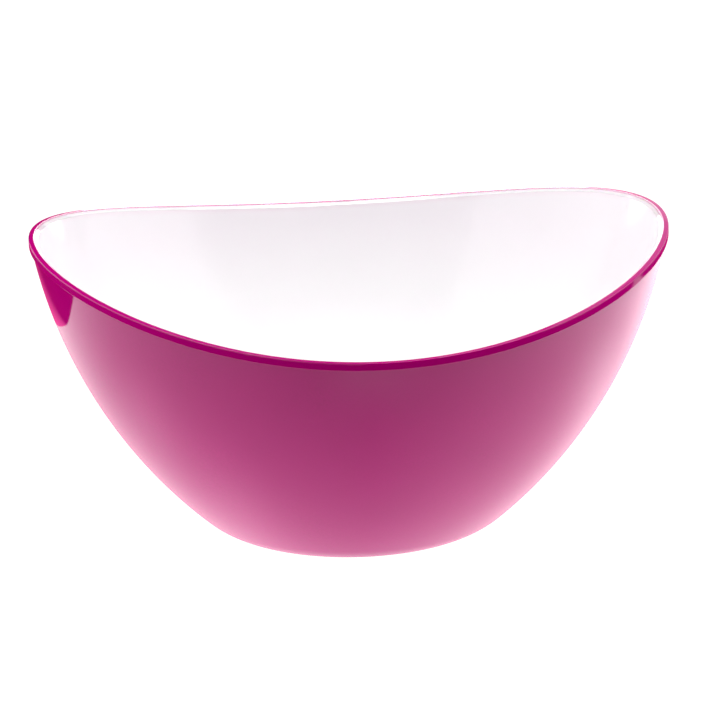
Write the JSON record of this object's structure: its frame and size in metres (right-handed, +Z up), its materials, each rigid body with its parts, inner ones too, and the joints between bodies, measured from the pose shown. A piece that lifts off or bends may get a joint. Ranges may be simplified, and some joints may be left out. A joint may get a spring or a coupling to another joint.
{
  "type": "serving bowl",
  "caption": "Round two-layer serving bowl with a saddle rim that rises to a tip at each end, a clear coloured outer shell with a rim bead, and a white inner liner.",
  "frame": {"origin": "centre of the foot, on the surface that the bowl stands on", "axes": "+X towards a tip of the rim, +Y towards a dip of the rim, +Z up"},
  "size_m": [0.28, 0.2694, 0.1352],
  "materials": {
    "fuchsia_clear": "polished clear tinted plastic",
    "white_gloss": "polished opaque white plastic"
  },
  "bodies": {
    "root": {"outer_shell": "fuchsia_clear", "inner_liner": "white_gloss"}
  },
  "joints": []
}
